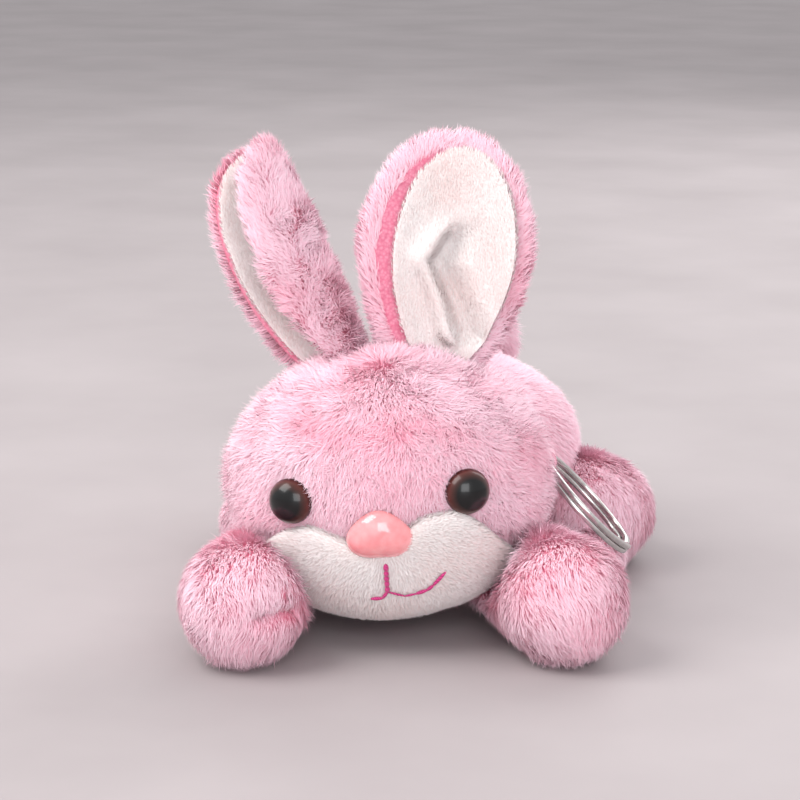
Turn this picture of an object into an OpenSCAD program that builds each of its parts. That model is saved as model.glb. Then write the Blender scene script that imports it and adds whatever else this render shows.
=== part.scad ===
// Plush rabbit keychain: a small stuffed rabbit lying on its belly, with a steel split ring on a ribbon loop.
// Millimetres, +Z up. The origin is on the ground under the middle of the body. -Y is the front.

/* [Body] */
// Half width of the body at its fullest
body_half_w = 29; // [27:0.5:31]
// Half length of the body
body_half_l = 36.5; // [35:0.5:38]
// Half height of the body before the belly is pressed flat
body_half_h = 22; // [21:0.5:23]
// Height of the flat belly cut above the lowest point of the body
belly_press = 1; // [0.6:0.1:1.6]
// Thickness of the plush fabric with its pile pressed down
fabric_t = 2; // [1.5:0.1:2.4]
// Gap between parts that move against each other
joint_gap = 0.4; // [0.3:0.05:0.6]

/* [Pose] */
// How far the chest, the arms and the head are turned towards +X
front_turn = 23; // [18:1:24]
// How far the head is turned back from the chest
head_back_turn = 2; // [0:1:4]
// How far the head is tipped to its side
head_roll = 3; // [0:1:4]

/* [Head] */
// Half width of the head
head_half_w = 30; // [29:0.5:31]
// Half depth of the head, front to back
head_half_d = 23.5; // [22.5:0.5:24.5]
// Half height of the head
head_half_h = 24.5; // [23.5:0.5:25]
// Height of the middle of the head
head_z = 28.5; // [28:0.5:30]
// Diameter of an eye
eye_d = 8; // [7.5:0.5:9]
// Distance of each eye from the middle of the face
eye_x = 16; // [15:0.5:17]
// Width of the nose
nose_w = 12; // [11:0.5:13]

/* [Ears] */
// Length of an ear from its root
ear_len = 41; // [38:1:43]
// Width of an ear at its fullest
ear_w = 30; // [27:1:32]
// Radius of the dish across the open ear
ear_dish_r = 34; // [28:1:60]
// Radius of the fold along the folded ear
ear_fold_r = 4.2; // [3.8:0.2:4.6]
// Thickness of the pink back of an ear
ear_back_t = 4; // [3:0.5:4.5]
// Thickness of the white lining of an ear
ear_lining_t = 1.8; // [1.4:0.2:2.4]

/* [Arms and legs] */
// Radius of an arm at the shoulder
shoulder_r = 9; // [8:0.5:9.5]
// Radius of a paw
paw_r = 12; // [11:0.5:12.5]
// Radius of a haunch seen from above
haunch_r = 14.5; // [13.5:0.5:15]
// Height of a haunch
haunch_h = 23; // [21:0.5:24]
// Radius of a hind foot
foot_r = 6.2; // [5.8:0.2:6.4]
// Radius of the tail
tail_r = 7; // [6:0.5:7.5]

/* [Ring] */
// Outside diameter of the split ring
ring_od = 25; // [24:0.5:26]
// Width of the ring wire across its face
wire_w = 1.4; // [1.2:0.1:1.6]
// Thickness of one turn of the ring wire
wire_t = 1.1; // [0.9:0.1:1.2]
// Width of the ribbon loop
ribbon_w = 5; // [4:0.5:6]
// Thickness of the ribbon
ribbon_t = 0.6; // [0.4:0.1:0.8]
// Angle of the ring below level, as it leans on the leg
ring_droop = 46.8; // [44:0.2:50]

/* [Hidden] */

$fn = 48;
far = 200;
stuffing_gap = 0.05;

// Body: the origin is under the middle of the main oval, which the ground presses flat.
body_z = body_half_h - belly_press;
body_size = [body_half_w, body_half_l, body_half_h];
chest_y = -14;
chest_size = [22, 22, 16];
chest_z = 15;
front_x = -3;
front_y = -15;

// Head: everything on the face is placed from the middle of the head.
head_y = -33;
head_size = [head_half_w, head_half_d, head_half_h];
head_sway = 1.8;
muzzle_at = [0, -13.5, -12.5];
muzzle_size = [24, 10.5, 10.5];
muzzle_back = -8;
eye_z = 1.8;
eye_r = eye_d / 2;
eye_out = 20;
shank_r = 1.2;
shank_l = 8;
washer_r = 4;
washer_t = 1.2;
washer_in = fabric_t + 1.2;
nose_at = [0, -23.6, -4.7];
pupil_r = 0.68 * eye_r;
thread_r = 0.45;
stitch_from = -18;

// Ears: root places on the head, and how each one leans.
ear_root_r = 2.8;
ear_root_w = 11;
ear_left_at = [-8.5, 7, 24.2];
ear_left_turn = [-6, -22, -10];
ear_left_twist = -58;
ear_right_at = [9.5, 4, 25];
ear_right_turn = [-8, 9, 0];
ear_right_twist = 0;
ear_swing = 20;
ear_fold_deep = 1.9;
ear_cup = 12;
ear_open = [ear_w / 2, ear_dish_r, 1];
ear_folded = [ear_fold_r + ear_back_t - 0.2, ear_fold_r, ear_fold_deep];

// Arms and legs: where each one is sewn on, and where it points, in degrees outwards from straight ahead.
shoulder_x = 19;
shoulder_y = -25;
arm_len = 32;
arm_left_out = 12;
arm_right_out = 24;
limb_press = 0.6;
hip_x = 29.5;
hip_y = 9;
foot_len = 20;
foot_out = 17;
tail_at = [0, 25, 41];
tail_sway = 1;

// Ring: the middle of the ring, and its plane, which holds the level line across the ribbon.
ring_at = [39.4, -18.3, 20.2];
ring_turn = front_turn + 1;
ring_r = ring_od / 2;
wire_mid_r = ring_r - wire_w / 2;
kink_angle = 24;
ring_groove = 0.15;
ring_end_gap = 0.4;
ribbon_droop = 10;
eye_bend_r = 1.8;
ribbon_reach = 3.6;
anchor_len = 5.8;
tack_r = 0.25;

// ---- helpers ----

module oval(size, facets = 96) { scale(size) sphere(1, $fn = facets); }

// What the ground presses flat at this height
module above(level) {
    intersection() {
        children();
        translate([-far / 2, -far / 2, level]) cube(far);
    }
}

// A long oval along -Y: the narrow end is at the origin and the wide end at len
module limb(r1, r2, len) {
    sphere(r1);
    translate([0, -len, 0]) sphere(r2);
    lean = asin((r2 - r1) / len);
    rotate([90, 0, 0]) translate([0, 0, -r1 * sin(lean)])
        cylinder(r1 = r1 * cos(lean), r2 = r2 * cos(lean), h = len - (r2 - r1) * sin(lean));
}

module front() { translate([front_x, front_y, 0]) rotate([0, 0, front_turn]) children(); }

module head_frame() {
    front() translate([0, head_y, head_z]) rotate([0, 0, -head_back_turn]) rotate([0, -head_roll, 0])
        children();
}

module eye_frame(side) {
    reach = sqrt(1 - pow(eye_x / head_half_w, 2) - pow(eye_z / head_half_h, 2));
    head_frame() translate([side * eye_x, -head_half_d * reach, eye_z])
        rotate([90, 0, side * eye_out]) children();
}

module nose_frame() { head_frame() translate(nose_at) rotate([98, 0, 0]) children(); }

module ear_frame(at, turn, twist) {
    head_frame() translate(at) rotate([0, 0, turn.z]) rotate([turn.x, 0, 0]) rotate([0, turn.y, 0])
        rotate([0, 0, twist]) children();
}

module arm_frame(side, out) {
    front() translate([side * shoulder_x, shoulder_y, paw_r - limb_press])
        rotate([0, 0, side * out]) children();
}

module leg_frame(side) { translate([side * hip_x, hip_y, 0]) children(); }

// +X runs down the ring's slope, away from the ribbon, and +Y across it
module ring_frame() {
    translate(ring_at) rotate([0, 0, ring_turn]) rotate([0, ring_droop, 0]) children();
}

// ---- outlines and solids ----

module torso_form(inset) {
    above(inset) union() {
        translate([0, 0, body_z]) oval(body_size - [inset, inset, inset]);
        front() translate([0, chest_y, chest_z]) oval(chest_size - [inset, inset, inset]);
    }
}

module arm_form(side, out, grow) {
    above(max(0, -grow)) arm_frame(side, out) limb(shoulder_r + grow, paw_r + grow, arm_len);
}

module haunch(grow) {
    translate([0, 0, haunch_h / 2 - limb_press])
        oval([haunch_r + grow, haunch_r + grow, haunch_h / 2 + grow]);
}

module foot(side, grow) {
    rotate([0, 0, side * foot_out]) translate([side * 3, 0, foot_r - limb_press])
        limb(foot_r + grow, foot_r + grow, foot_len);
}

module leg_form(side, grow) {
    above(max(0, -grow)) leg_frame(side) {
        haunch(grow);
        foot(side, grow);
    }
}

module head_form(grow, facets = 96) { oval(head_size + [grow, grow, grow], facets); }

module muzzle_form(grow, facets = 96) { translate(muzzle_at) oval(muzzle_size + [grow, grow, grow], facets); }

// The leaf of an ear: a round top on straight sides that narrow to the root
module ear_outline(half_w, inset) {
    round_z = ear_len - half_w;
    r = half_w - inset;
    narrow = atan((half_w - ear_root_w / 2) / round_z) * 0.9;
    foot_x = ear_root_w / 2 - inset;
    side_x = r * cos(narrow);
    side_z = round_z - r * sin(narrow);
    translate([0, round_z]) circle(r);
    polygon([[-foot_x, inset], [foot_x, inset], [side_x, side_z], [-side_x, side_z]]);
}

// A leaf-shaped piece of the wall of an upright tube, hollow side to -Y. fold is the leaf's half width,
// the tube's inner radius, and how much deeper than round the tube is.
module ear_layer(fold, inset, from, thick) {
    cup = min(ear_cup, fold[2] * (fold[1] + ear_back_t) - ear_back_t);
    difference() {
        intersection() {
            translate([0, ear_len, 0]) rotate([90, 0, 0]) linear_extrude(ear_len + cup)
                ear_outline(fold[0], inset);
            translate([0, ear_back_t - fold[2] * (fold[1] + ear_back_t), 0]) scale([1, fold[2], 1])
                difference() {
                    cylinder(r = fold[1] + from + thick, h = far / 2, $fn = 96);
                    translate([0, 0, -1]) cylinder(r = fold[1] + from, h = far / 2 + 2, $fn = 96);
                }
        }
        translate([-far / 2, -far - 2, -1]) cube([far, far, 6]);
    }
}

module ear_back(fold, at, turn, twist) {
    color("lightpink") ear_frame(at, turn, twist) union() {
        ear_layer(fold, 0, 0, ear_back_t);
        translate([-ear_root_w / 2, ear_back_t / 2, 0]) rotate([0, 90, 0])
            cylinder(r = ear_root_r, h = ear_root_w);
    }
}

module ear_lining(fold, at, turn, twist) {
    color("white") ear_frame(at, turn, twist) ear_layer(fold, 3.5, -ear_lining_t, ear_lining_t);
}

// The room that an ear root turns in
module ear_socket(at, turn, twist) {
    ear_frame(at, turn, twist) union() {
        translate([-ear_root_w / 2 - joint_gap, ear_back_t / 2, 0]) rotate([0, 90, 0])
            cylinder(r = ear_root_r + joint_gap, h = ear_root_w + 2 * joint_gap);
        for (bend = [-ear_swing, 0, ear_swing])
            translate([0, ear_back_t / 2, 0]) rotate([bend, 0, 0])
                translate([-ear_root_w / 2 - 2, -ear_root_r - joint_gap, 0])
                    cube([ear_root_w + 4, 2 * (ear_root_r + joint_gap), 12]);
    }
}

module shank(len) { cylinder(r = shank_r, h = len); }

module shank_hole() { translate([0, 0, -shank_l - 1]) cylinder(r = shank_r + 0.05, h = shank_l + 4); }

module washer() {
    translate([0, 0, -washer_in - washer_t]) difference() {
        cylinder(r = washer_r, h = washer_t);
        translate([0, 0, -1]) cylinder(r = shank_r + 0.02, h = washer_t + 2);
    }
}

// Room in the stuffing for a shank and its washer
module washer_pocket() {
    translate([0, 0, -shank_l - 0.3]) cylinder(r = shank_r + 0.2, h = shank_l + 2);
    translate([0, 0, -washer_in - washer_t - 0.2]) cylinder(r = washer_r + 0.2, h = washer_t + 4);
}

module eye_post(side) {
    color([0.05, 0.04, 0.04]) eye_frame(side) {
        translate([0, 0, -shank_l]) shank(shank_l + 0.4);
        translate([0, 0, 0.2]) cylinder(r = pupil_r, h = 1);
    }
}

// A clear dome over the pupil, cut from a ball
module eye_dome(side) {
    color([0.25, 0.12, 0.08]) eye_frame(side) difference() {
        intersection() {
            translate([0, 0, -0.6]) sphere(eye_r + 0.15);
            translate([0, 0, 0.1]) cylinder(r = eye_r, h = eye_d);
        }
        translate([0, 0, -1]) cylinder(r = pupil_r + 0.02, h = 2.22);
    }
}

module tail_frame() { translate(tail_at) children(); }

// The ribbon's own frame: the origin is in the ring wire, +X points away from the head
module ribbon_frame() {
    ring_frame() translate([-wire_mid_r, 0, 0]) rotate([0, ribbon_droop - ring_droop, 0]) children();
}

// The eye of the ribbon seen from its edge: round at the wire, and closing to a point towards the head
module ribbon_eye(r, tip) {
    circle(r);
    polygon([[0, r], [-1.2, r], [-tip, 0], [-1.2, -r], [0, -r]]);
}

module across_ribbon(w) { rotate([90, 0, 0]) translate([0, 0, -w / 2]) linear_extrude(w) children(); }

module anchor_slot(play) {
    ribbon_frame() translate([-ribbon_reach - anchor_len - play, -ribbon_w / 2 - play, -ribbon_t - play])
        cube([anchor_len, ribbon_w + 2 * play, 2 * (ribbon_t + play)]);
}

// Two flat turns of wire lying on each other, with a fine groove between them
module ring_turns() {
    rotate_extrude($fn = 96) translate([ring_r - wire_w, -wire_t]) difference() {
        square([wire_w, 2 * wire_t]);
        for (x = [-ring_groove, wire_w - ring_groove])
            translate([x, wire_t - ring_groove / 2]) square([2 * ring_groove, ring_groove]);
    }
}

// ---- the pieces ----

module torso_cover() {
    color("pink") difference() {
        torso_form(0);
        torso_form(fabric_t);
        torso_cuts();
    }
}

module torso_stuffing() {
    color("ivory") difference() {
        torso_form(fabric_t + stuffing_gap);
        torso_cuts();
    }
}

// Everything that the body makes room for
module torso_cuts() {
    head_frame() head_form(joint_gap + head_sway);
    for (side = [-1, 1]) leg_form(side, joint_gap);
    arm_form(-1, arm_left_out, joint_gap);
    arm_form(1, arm_right_out, joint_gap);
    tail_frame() sphere(tail_r + joint_gap + tail_sway);
}

module head_cover() {
    color("pink") difference() {
        head_frame() head_form(0);
        head_frame() head_form(-fabric_t);
        for (side = [-1, 1]) eye_frame(side) shank_hole();
        nose_frame() shank_hole();
        ear_socket(ear_left_at, ear_left_turn, ear_left_twist);
        ear_socket(ear_right_at, ear_right_turn, ear_right_twist);
        anchor_slot(0.05);
    }
}

module head_stuffing() {
    color("ivory") difference() {
        head_frame() head_form(-fabric_t - stuffing_gap);
        for (side = [-1, 1]) eye_frame(side) washer_pocket();
        nose_frame() washer_pocket();
        ear_socket(ear_left_at, ear_left_turn, ear_left_twist);
        ear_socket(ear_right_at, ear_right_turn, ear_right_twist);
        anchor_slot(0.05);
    }
}

module muzzle_patch() {
    color("white") difference() {
        head_frame() muzzle_form(0);
        head_frame() head_form(0.02);
        head_frame() translate([-far / 2, muzzle_back, -far / 2]) cube(far);
        nose_frame() translate([0, 0, -3]) cylinder(r = nose_w / 2 + 1.4, h = 8);
    }
}

// A line of stitches through these points, seen from the front of the face
module stitch_line(points) {
    for (i = [0:len(points) - 2]) {
        step = points[i + 1] - points[i];
        translate(points[i]) rotate(atan2(step.y, step.x))
            translate([0, -thread_r]) square([norm(step), 2 * thread_r]);
        translate(points[i + 1]) circle(thread_r, $fn = 24);
    }
}

module mouth_stitching() {
    color("mediumvioletred") intersection() {
        difference() {
            head_frame() muzzle_form(0.55);
            head_frame() muzzle_form(0.02);
        }
        head_frame() translate([0, stitch_from, 0]) rotate([90, 0, 0]) linear_extrude(far / 2) {
            stitch_line([[0.3, -12.2], [0.5, -15.4], [-3, -16.6]]);
            stitch_line([[0.5, -15.4], [5, -16.1], [8, -15], [11, -12]]);
        }
    }
}

module eye_washers() { color("gray") for (side = [-1, 1]) eye_frame(side) washer(); }

// The nose: a rounded triangle, point down, crowned by a ball
module nose() {
    flat = 9.6;
    color("salmon") nose_frame() union() {
        intersection() {
            linear_extrude(nose_w) intersection_for(side = [-1, 1])
                translate([side * (flat - nose_w / 2), 2.6]) circle(flat);
            linear_extrude(nose_w) translate([0, -5.4]) circle(9);
            translate([0, 0, -5.2]) sphere(flat - 0.2);
        }
        translate([0, 0, -shank_l]) shank(shank_l + 0.5);
    }
}

module nose_washer() { color("gray") nose_frame() washer(); }

module ear_left_back() { ear_back(ear_folded, ear_left_at, ear_left_turn, ear_left_twist); }

module ear_left_lining() { ear_lining(ear_folded, ear_left_at, ear_left_turn, ear_left_twist); }

module ear_right_back() { ear_back(ear_open, ear_right_at, ear_right_turn, ear_right_twist); }

module ear_right_lining() { ear_lining(ear_open, ear_right_at, ear_right_turn, ear_right_twist); }

// The room that the head takes from an arm
module head_room() {
    head_frame() head_form(joint_gap + head_sway);
    head_frame() muzzle_form(joint_gap + head_sway);
}

module arm_cover(side, out) {
    color("pink") difference() {
        arm_form(side, out, 0);
        arm_form(side, out, -fabric_t);
        head_room();
    }
}

module arm_stuffing(side, out) {
    color("ivory") difference() {
        arm_form(side, out, -fabric_t - stuffing_gap);
        head_room();
    }
}

module arm_left_cover() { arm_cover(-1, arm_left_out); }

module arm_left_stuffing() { arm_stuffing(-1, arm_left_out); }

module arm_right_cover() { arm_cover(1, arm_right_out); }

module arm_right_stuffing() { arm_stuffing(1, arm_right_out); }

module leg_cover(side) {
    color("pink") difference() {
        leg_form(side, 0);
        leg_form(side, -fabric_t);
    }
}

module leg_stuffing(side) { color("ivory") leg_form(side, -fabric_t - stuffing_gap); }

module leg_left_cover() { leg_cover(-1); }

module leg_left_stuffing() { leg_stuffing(-1); }

module leg_right_cover() { leg_cover(1); }

module leg_right_stuffing() { leg_stuffing(1); }

module tail_cover() {
    color("pink") tail_frame() difference() {
        sphere(tail_r);
        sphere(tail_r - fabric_t);
    }
}

module tail_stuffing() { color("ivory") tail_frame() sphere(tail_r - fabric_t - stuffing_gap); }

module loop_anchor() { color("lightpink") anchor_slot(0); }

// Two rows of thread across the ribbon, where it leaves the head
module loop_bar_tack() {
    color("hotpink") for (row = [0, 1])
        ribbon_frame() translate([-ribbon_reach - 0.3 - row * 2.2 * tack_r, 0, ribbon_t + tack_r])
            rotate([90, 0, 0]) cylinder(r = tack_r, h = ribbon_w, center = true);
}

module ribbon_loop() {
    color("lightpink") ribbon_frame() across_ribbon(ribbon_w) difference() {
        union() {
            ribbon_eye(eye_bend_r + ribbon_t, ribbon_reach + 0.4);
            translate([-ribbon_reach + 0.1, -ribbon_t]) square([2.4, 2 * ribbon_t]);
        }
        ribbon_eye(eye_bend_r, ribbon_reach - 1);
        translate([-ribbon_reach - 1, -3]) square([1.5, 6]);
    }
}

// The upper turn ends on one side of the kink and the lower turn on the other
module split_ring() {
    color("silver") ring_frame() difference() {
        ring_turns();
        for (end = [-1, 1]) rotate([0, 0, end * kink_angle / 2])
            translate([ring_r - wire_w - 1, -ring_end_gap / 2, end > 0 ? 0 : -wire_t - 1])
                cube([wire_w + 2, ring_end_gap, wire_t + 1]);
    }
}

torso_cover();
torso_stuffing();
head_cover();
head_stuffing();
muzzle_patch();
mouth_stitching();
eye_post(-1);  // eye_left
eye_post(1);  // eye_right
eye_dome(-1);  // eye_left_dome
eye_dome(1);  // eye_right_dome
eye_washers();
nose();
nose_washer();
ear_left_back();
ear_left_lining();
ear_right_back();
ear_right_lining();
arm_left_cover();
arm_left_stuffing();
arm_right_cover();
arm_right_stuffing();
leg_left_cover();
leg_left_stuffing();
leg_right_cover();
leg_right_stuffing();
tail_cover();
tail_stuffing();
loop_anchor();
loop_bar_tack();
ribbon_loop();
split_ring();
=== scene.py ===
# %% [markdown]
# # A plush rabbit keychain
# A small stuffed rabbit lies on its belly. Its skin is long-pile plush sewn over stuffing, its muzzle
# and ear linings are short white plush, and a steel split ring hangs from a ribbon behind its head.
# The frame brings the solids, joints and material slots. This script gives every soft solid its skin,
# its pile and its seams. All lengths are in metres, in the frame's own axes: -Y is the front, +Z is up.

# %% Load the frame
import math

import bpy
import numpy as np
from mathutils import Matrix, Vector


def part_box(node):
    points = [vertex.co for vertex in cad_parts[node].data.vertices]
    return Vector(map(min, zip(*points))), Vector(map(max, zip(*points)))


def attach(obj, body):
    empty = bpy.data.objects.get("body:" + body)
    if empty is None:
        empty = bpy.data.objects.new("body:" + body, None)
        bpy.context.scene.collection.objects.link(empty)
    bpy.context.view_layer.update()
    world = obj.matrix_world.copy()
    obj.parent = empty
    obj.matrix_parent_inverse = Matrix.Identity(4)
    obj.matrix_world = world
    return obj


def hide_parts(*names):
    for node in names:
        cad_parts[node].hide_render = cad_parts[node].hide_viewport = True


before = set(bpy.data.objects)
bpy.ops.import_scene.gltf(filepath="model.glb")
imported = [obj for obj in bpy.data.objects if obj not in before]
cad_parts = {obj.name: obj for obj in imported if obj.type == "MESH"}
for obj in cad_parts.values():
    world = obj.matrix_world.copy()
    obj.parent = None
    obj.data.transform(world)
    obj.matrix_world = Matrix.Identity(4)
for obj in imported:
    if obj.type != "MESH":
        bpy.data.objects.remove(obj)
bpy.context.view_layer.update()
mm = 0.001

# %% [markdown]
# ## Frames
# The rabbit lies with its chest, arms and head turned a little to its left. Each part is easiest to
# shape upright in its own frame, so a frame here is an origin and a turning matrix, and placing a
# shape is one matrix product. The origins are the ones that the solids were built on.


# %% Turning and placing
def turned(axis, degrees):
    """Rotation matrix about one axis: cosines on the diagonal, sines across it."""
    c, s = math.cos(math.radians(degrees)), math.sin(math.radians(degrees))
    first, second = {"x": (1, 2), "y": (2, 0), "z": (0, 1)}[axis]
    matrix = np.eye(3)
    matrix[first, first] = matrix[second, second] = c
    matrix[first, second] = -s
    matrix[second, first] = s
    return matrix


def inside(outer, at, matrix=np.eye(3)):
    """A frame given in millimetres inside another: origin = outer origin + turned offset."""
    return outer[0] + outer[1] @ (np.array(at, float) * mm), outer[1] @ matrix


def placed(home, points):
    """Points of a frame brought out of it: origin + matrix times point."""
    return home[0] + points @ home[1].T


def local(home, points):
    """The same points seen from inside the frame: the matrix's transpose times the difference."""
    return (points - home[0]) @ home[1]


ground = (np.zeros(3), np.eye(3))
front_turn = 23
front = inside(ground, (-3, -15, 0), turned("z", front_turn))
head = inside(front, (0, -33, 28.5), turned("z", -2) @ turned("y", -3))
head_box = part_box("head_cover")
print("middle of the head, mm:", np.round(head[0] / mm, 1), "in the frame:",
      np.round((np.array(head_box[0]) + np.array(head_box[1])) / 2 / mm, 1))

# %% [markdown]
# ## Smooth skins
# A stuffed part is a few round forms run into each other. Each form is a distance: negative inside,
# zero on its skin, positive outside. A soft minimum melts several distances into one, as stuffing
# rounds a seam, and walking out from the middle along every direction of a globe until the distance
# is zero gives the skin as a grid of longitude and latitude.


# %% Distances and globes
def oval(home, size):
    """Distance to an oval: k0 (k0 - 1) / k1, k0 the length of p / size and k1 of p / size squared."""
    size = np.array(size, float) * mm

    def distance(points):
        p = local(home, points)
        k0 = np.linalg.norm(p / size, axis=-1)
        k1 = np.linalg.norm(p / size**2, axis=-1) + 1e-9
        return k0 * (k0 - 1) / k1

    return distance


def rod(home, start, end, start_r, end_r):
    """Distance to a rod whose radius runs from start_r to end_r: to the nearest point of its line."""
    start, end = np.array(start, float) * mm, np.array(end, float) * mm

    def distance(points):
        p = local(home, points)
        t = np.clip((p - start) @ (end - start) / ((end - start) @ (end - start)), 0, 1)
        gap = np.linalg.norm(p - start - t[..., None] * (end - start), axis=-1)
        return gap - (start_r + (end_r - start_r) * t) * mm

    return distance


def melted(forms, softness):
    """Soft minimum of several distances: -w log(sum of exp(-distance / w))."""
    def distance(points):
        return -softness * mm * np.log(sum(np.exp(-form(points) / (softness * mm)) for form in forms))

    return distance


def carved(form, cutter, gap):
    """A form cut back from a neighbour: the larger of its distance and gap - the neighbour's."""
    return lambda points: np.maximum(form(points), gap * mm - cutter(points))


def globe(centre, distance, rows, columns, reach=0.07):
    """r(longitude, latitude) where the distance from centre out is zero, found by halving."""
    latitude = np.linspace(-np.pi / 2, np.pi / 2, rows)[:, None]
    longitude = np.linspace(0, 2 * np.pi, columns, endpoint=False)[None]
    way = np.stack([np.cos(latitude) * np.cos(longitude), np.cos(latitude) * np.sin(longitude),
                    np.sin(latitude) + 0 * longitude], axis=-1)
    near, far = np.zeros((rows, columns)), np.full((rows, columns), reach)
    for _ in range(24):
        middle = (near + far) / 2
        within = distance(centre + way * middle[..., None]) < 0
        near, far = np.where(within, middle, near), np.where(within, far, middle)
    return centre + way * near[..., None]


def grid_normals(grid):
    """Cross product of the grid's two directions, of length one. A pole takes its ring's mean."""
    around = np.roll(grid, -1, axis=1) - np.roll(grid, 1, axis=1)
    normals = np.cross(around, np.gradient(grid, axis=0))
    normals[0], normals[-1] = normals[1].mean(axis=0), normals[-2].mean(axis=0)
    return normals / (np.linalg.norm(normals, axis=-1, keepdims=True) + 1e-12)


def pressed(grid, floor):
    """The ground presses a form flat: height = floor + w log(1 + exp((z - floor) / w))."""
    soft = 0.6 * mm
    out = grid.copy()
    out[..., 2] = floor + soft * np.logaddexp(0, (grid[..., 2] - floor) / soft)
    return out


# %% [markdown]
# ## From grids to meshes
# A grid closes around its columns, and its first and last rows shrink to one point each, the poles.
# So every skin, button and stitch is a closed mesh made by one function.


# %% Closed meshes from grids
def to_mesh(name, corners, polygons, sizes, uv=None, normals=None):
    """Fills a mesh from arrays: corner places, one flat list of corners, and each face's count."""
    mesh = bpy.data.meshes.new(name)
    mesh.vertices.add(len(corners))
    mesh.vertices.foreach_set("co", corners.astype(np.float32).ravel())
    mesh.loops.add(len(polygons))
    mesh.loops.foreach_set("vertex_index", polygons.astype(np.int32))
    mesh.polygons.add(len(sizes))
    mesh.polygons.foreach_set("loop_start", (np.cumsum(sizes) - sizes).astype(np.int32))
    if uv is not None:
        mesh.uv_layers.new(name="UVMap").data.foreach_set("uv", uv.astype(np.float32).ravel())
    mesh.update(calc_edges=True)
    mesh.polygons.foreach_set("use_smooth", np.ones(len(sizes), bool))
    if normals is not None:
        mesh.normals_split_custom_set_from_vertices(normals.astype(np.float32))
    thing = bpy.data.objects.new(name, mesh)
    bpy.context.scene.collection.objects.link(thing)
    return thing


def closed(name, grid, material):
    """A closed mesh on a grid of rows and columns, facing outwards, with UV = (column, row)."""
    rows, columns = grid.shape[:2]
    corners = np.concatenate([grid[:1, 0], grid[1:-1].reshape(-1, 3), grid[-1:, 0]])
    ring = np.arange(columns)
    after = (ring + 1) % columns
    start = 1 + columns * np.arange(rows - 3)[:, None]
    quads = np.stack([start + ring, start + after, start + columns + after,
                      start + columns + ring], axis=-1).reshape(-1, 4)
    last = len(corners) - 1
    top = 1 + columns * (rows - 3)
    first_cap = np.stack([0 * ring, 1 + after, 1 + ring], axis=-1)
    last_cap = np.stack([last + 0 * ring, top + ring, top + after], axis=-1)
    triangles = np.concatenate([quads[:, [0, 1, 2]], quads[:, [0, 2, 3]], first_cap, last_cap])
    a, b, c = (corners[triangles[:, i]] for i in range(3))
    volume = np.einsum("ij,ij->i", a, np.cross(b, c)).sum()
    if volume < 0:
        quads, first_cap, last_cap = quads[:, ::-1], first_cap[:, ::-1], last_cap[:, ::-1]
    polygons = np.concatenate([quads.ravel(), first_cap.ravel(), last_cap.ravel()])
    sizes = np.concatenate([np.full(len(quads), 4), np.full(2 * columns, 3)])
    row = np.concatenate([[0], np.repeat(np.arange(1, rows - 1), columns), [rows - 1]]) / (rows - 1)
    column = np.concatenate([[0], np.tile(ring, rows - 2), [0]]) / columns
    uv = np.stack([column, row], axis=-1)[polygons]
    thing = to_mesh(name, corners, polygons, sizes, uv)
    thing.data.materials.append(material)
    return thing


def outward(grid):
    """Grid normals, turned round if they point into the form."""
    normals = grid_normals(grid)
    middle = grid.reshape(-1, 3).mean(axis=0)
    return normals * np.sign(((grid - middle) * normals).sum())


# %% [markdown]
# ## Soft random fields
# Plush is never combed evenly: tufts lean together, and patches of pile catch the light differently.
# Random numbers on a lattice, blended smoothly between its points, give each hair a neighbour that
# leans almost the same way.


# %% A lattice of random vectors
def drift(points, cell, seed):
    """Three smooth values from -1 to 1: lattice values weighted by a smooth step in each axis."""
    lattice = np.random.default_rng(seed).uniform(-1, 1, (32, 32, 32, 3))
    spot = points / (cell * mm)
    base = np.floor(spot).astype(int)
    part = spot - base
    part = part * part * (3 - 2 * part)
    total = np.zeros(points.shape)
    for corner in np.ndindex(2, 2, 2):
        step = np.array(corner)
        weight = np.prod(np.where(step, part, 1 - part), axis=-1, keepdims=True)
        x, y, z = np.moveaxis((base + step) % 32, -1, 0)
        total += weight * lattice[x, y, z]
    return total


def unit(vectors):
    """Vectors of length one in the same directions."""
    return vectors / (np.linalg.norm(vectors, axis=-1, keepdims=True) + 1e-12)


def near_line(points, path, width):
    """1 on a line of points and 0 away from it: exp(-(distance / width) squared)."""
    path = np.array(path, float) * mm
    gap = np.full(points.shape[:-1], 1.0)
    for start, end in zip(path[:-1], path[1:]):
        step = end - start
        t = np.clip((points - start) @ step / (step @ step), 0, 1)
        gap = np.minimum(gap, np.linalg.norm(points - start - t[..., None] * step, axis=-1))
    return np.exp(-((gap / (width * mm)) ** 2))


# %% [markdown]
# ## Pile
# Each hair is a flat blade of three small triangles: a root, a bend half way and a fine tip. It leaves
# the skin nearly upright and then leans along the nap. Its shading direction is mostly the skin's own,
# so thousands of blades read as one soft surface, and its broad side always faces out. Its UV is
# (tone, height), so one material colours every hair from a darker root, painted shade deep in the pile,
# to a pale tip, and a lower tone paints shade where the pile parts or gathers into a seam.


# %% Growing the pile
def sown(grid, normals, count, draw):
    """Random places on a grid, as many in each cell as its area asks for, by blending its corners."""
    corner = [grid[:-1], np.roll(grid[:-1], -1, axis=1), grid[1:], np.roll(grid[1:], -1, axis=1)]
    facing = [normals[:-1], np.roll(normals[:-1], -1, axis=1), normals[1:], np.roll(normals[1:], -1, axis=1)]
    area = np.linalg.norm(np.cross(corner[3] - corner[0], corner[2] - corner[1]), axis=-1).ravel()
    cell = draw.choice(len(area), count, p=area / area.sum())
    a, b = draw.random((2, count, 1))
    shares = [(1 - a) * (1 - b), (1 - a) * b, a * (1 - b), a * b]
    spots = sum(s * c.reshape(-1, 3)[cell] for s, c in zip(shares, corner))
    return spots, unit(sum(s * f.reshape(-1, 3)[cell] for s, f in zip(shares, facing)))


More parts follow.
